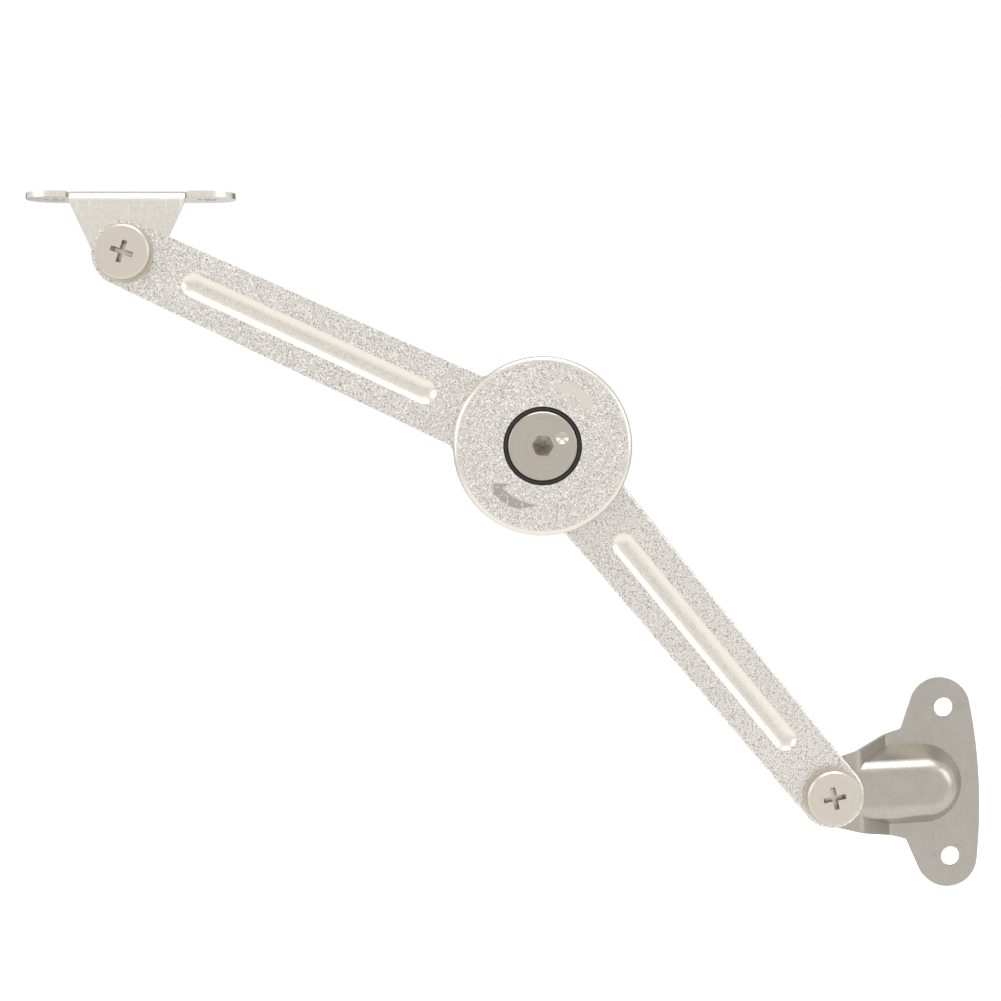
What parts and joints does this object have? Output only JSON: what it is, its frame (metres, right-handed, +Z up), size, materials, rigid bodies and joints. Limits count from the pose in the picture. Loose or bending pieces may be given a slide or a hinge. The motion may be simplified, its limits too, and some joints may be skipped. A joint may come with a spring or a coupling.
{
  "type": "lid stay",
  "caption": "Folding lid stay: cast arms joined by a round friction hub with a hex-socket adjuster, a stamped cabinet bracket with a drawn horn, and a folded lid bracket.",
  "frame": {"origin": "midway between the cabinet bracket's screw holes, on its back face, which lies on the cabinet side", "axes": "+X away from the arms, +Y into the cabinet side, +Z up along the line of screw holes"},
  "size_m": [0.1956, 0.0196, 0.1569],
  "materials": {
    "plated_zinc": "nickel-plated die casting with a fine grain",
    "plated_sheet": "nickel-plated sheet, satin",
    "plated_steel": "nickel-plated, turned",
    "plain_steel": "plain",
    "spring_steel": "oiled spring steel",
    "black_plastic": "moulded, black",
    "friction_plastic": "moulded, natural"
  },
  "bodies": {
    "cabinet_side": {"cabinet_bracket": "plated_sheet", "cabinet_sleeve_nut": "plated_steel", "cabinet_spring_washer": "spring_steel", "cabinet_head_washer": "plated_steel", "cabinet_pivot_screw": "plated_steel"},
    "lower_link": {"lower_arm": "plated_zinc", "cabinet_pivot_bush": "friction_plastic", "hub_nut": "plated_steel", "stop_pin": "plain_steel", "rear_friction_disc": "friction_plastic", "front_friction_disc": "friction_plastic", "pressure_plate": "plain_steel", "rear_disc_spring": "spring_steel", "front_disc_spring": "spring_steel"},
    "adjuster_screw": {"adjuster": "plated_steel"},
    "upper_link": {"upper_arm": "plated_zinc", "lid_pivot_bush": "friction_plastic", "drive_plate": "plain_steel", "bearing_ring": "black_plastic"},
    "lid_side": {"lid_bracket": "plated_sheet", "lid_sleeve_nut": "plated_steel", "lid_spring_washer": "spring_steel", "lid_head_washer": "plated_steel", "lid_pivot_screw": "plated_steel"}
  },
  "joints": [
    {"name": "cabinet_pivot", "type": "hinge", "parent": "cabinet_side", "child": "lower_link", "pos_m": [-0.0264, 0, 0], "axis": [0, -1, 0], "continuous": true},
    {"name": "hub_pivot", "type": "hinge", "parent": "lower_link", "child": "upper_link", "pos_m": [-0.08331, 0, 0.07607], "axis": [0, -1, 0], "range_deg": [-20.5, 109.5]},
    {"name": "lid_pivot", "type": "hinge", "parent": "upper_link", "child": "lid_side", "pos_m": [-0.16742, 0, 0.12023], "axis": [0, -1, 0], "continuous": true},
    {"name": "adjuster_turn", "type": "hinge", "parent": "lower_link", "child": "adjuster_screw", "pos_m": [-0.08331, 0, 0.07607], "axis": [0, -1, 0], "range_deg": [-180, 180]}
  ]
}
